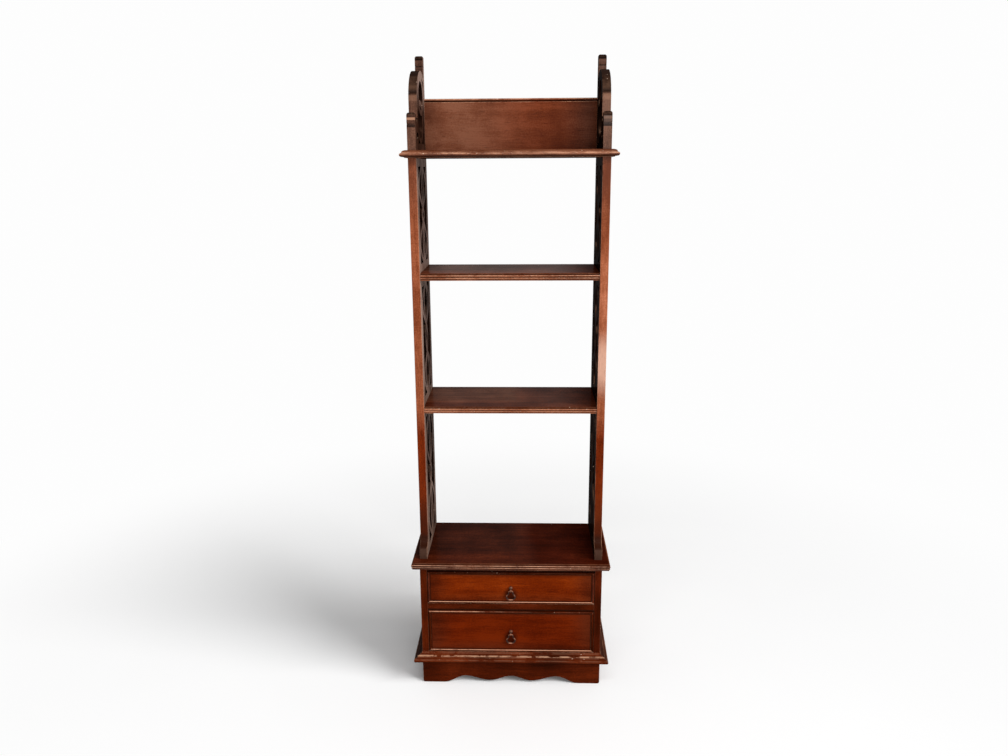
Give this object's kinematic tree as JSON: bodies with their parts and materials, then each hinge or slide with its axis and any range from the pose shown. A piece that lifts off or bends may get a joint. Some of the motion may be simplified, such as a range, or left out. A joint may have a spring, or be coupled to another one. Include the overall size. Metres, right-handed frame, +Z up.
{
  "type": "etagere",
  "caption": "Tall narrow open shelf stand with pierced fretwork sides, a galleried top shelf and a low drawer case on a scalloped plinth.",
  "frame": {"origin": "on the floor, in the middle of the plan box", "axes": "+Z up, +Y towards the back, +X to the right as seen from the front"},
  "size_m": [0.4248, 0.2094, 1.3297],
  "materials": {
    "mahogany": "french polished, worn to a lighter red brown",
    "case_mahogany": "french polished, dark red brown",
    "drawer_front_mahogany": "french polished, deep red",
    "inside_wood": "bare secondary wood, browned by age",
    "aged_brass": "cast brass with a brown patina"
  },
  "bodies": {
    "root": {"apron_front": "case_mahogany", "apron_left": "case_mahogany", "apron_right": "case_mahogany", "apron_back": "inside_wood", "corner_block_front_left": "inside_wood", "corner_block_front_right": "inside_wood", "corner_block_rear_left": "inside_wood", "corner_block_rear_right": "inside_wood", "plinth_moulding_front": "mahogany", "plinth_moulding_left": "mahogany", "plinth_moulding_right": "mahogany", "case_side_left": "case_mahogany", "case_side_right": "case_mahogany", "case_back": "inside_wood", "case_bottom": "inside_wood", "rail_bottom": "case_mahogany", "rail_middle": "case_mahogany", "rail_top": "case_mahogany", "runner_left": "inside_wood", "runner_right": "inside_wood", "kicker_left": "inside_wood", "kicker_right": "inside_wood", "drawer_lower_stop_left": "inside_wood", "drawer_lower_stop_right": "inside_wood", "drawer_upper_stop_left": "inside_wood", "drawer_upper_stop_right": "inside_wood", "base_top": "mahogany", "fret_side_left": "mahogany", "fret_side_right": "mahogany", "shelf_lower": "mahogany", "shelf_upper": "mahogany", "shelf_top": "mahogany", "gable_left": "mahogany", "gable_right": "mahogany", "gallery_back": "mahogany"},
    "drawer_upper": {"drawer_upper_front": "drawer_front_mahogany", "drawer_upper_side_left": "inside_wood", "drawer_upper_side_right": "inside_wood", "drawer_upper_back": "inside_wood", "drawer_upper_bottom": "inside_wood", "drawer_upper_bead_top": "mahogany", "drawer_upper_bead_bottom": "mahogany", "drawer_upper_bead_left": "mahogany", "drawer_upper_bead_right": "mahogany", "drawer_upper_pull_boss": "aged_brass", "drawer_upper_pull_nut": "aged_brass"},
    "pull_upper": {"drawer_upper_pull_bail": "aged_brass"},
    "drawer_lower": {"drawer_lower_front": "drawer_front_mahogany", "drawer_lower_side_left": "inside_wood", "drawer_lower_side_right": "inside_wood", "drawer_lower_back": "inside_wood", "drawer_lower_bottom": "inside_wood", "drawer_lower_bead_top": "mahogany", "drawer_lower_bead_bottom": "mahogany", "drawer_lower_bead_left": "mahogany", "drawer_lower_bead_right": "mahogany", "drawer_lower_pull_boss": "aged_brass", "drawer_lower_pull_nut": "aged_brass"},
    "pull_lower": {"drawer_lower_pull_bail": "aged_brass"}
  },
  "joints": [
    {"name": "drawer_upper_slide", "type": "slide", "parent": "root", "child": "drawer_upper", "axis": [0, -1, 0], "range_m": [0, 0.12]},
    {"name": "drawer_lower_slide", "type": "slide", "parent": "root", "child": "drawer_lower", "axis": [0, -1, 0], "range_m": [0, 0.12]},
    {"name": "pull_upper_swing", "type": "hinge", "parent": "drawer_upper", "child": "pull_upper", "pos_m": [0, -0.0913, 0.22755], "axis": [-1, 0, 0], "range_deg": [-4, 95]},
    {"name": "pull_lower_swing", "type": "hinge", "parent": "drawer_lower", "child": "pull_lower", "pos_m": [0, -0.0913, 0.12255], "axis": [-1, 0, 0], "range_deg": [-4, 95]}
  ]
}
